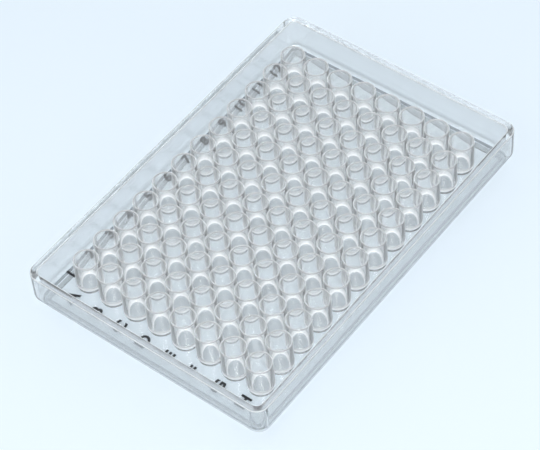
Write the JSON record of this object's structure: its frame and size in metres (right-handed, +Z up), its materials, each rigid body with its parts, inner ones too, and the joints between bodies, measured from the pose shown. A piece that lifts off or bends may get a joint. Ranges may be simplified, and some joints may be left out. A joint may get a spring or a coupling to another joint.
{
  "type": "well plate",
  "caption": "Clear moulded tray with a grid of small round wells, raised rim and inset foot ring, for holding many liquid samples side by side.",
  "frame": {"origin": "middle of the base, on the surface that the plate stands on", "axes": "+Z up out of the wells, +X along the long side from column 1 to column 12, +Y along the short side from row H to row A"},
  "size_m": [0.1278, 0.0854, 0.0143],
  "materials": {
    "clear_plastic": "clear, glossy moulded polystyrene, very slightly blue-grey"
  },
  "bodies": {
    "root": {"well_plate": "clear_plastic"}
  },
  "joints": []
}
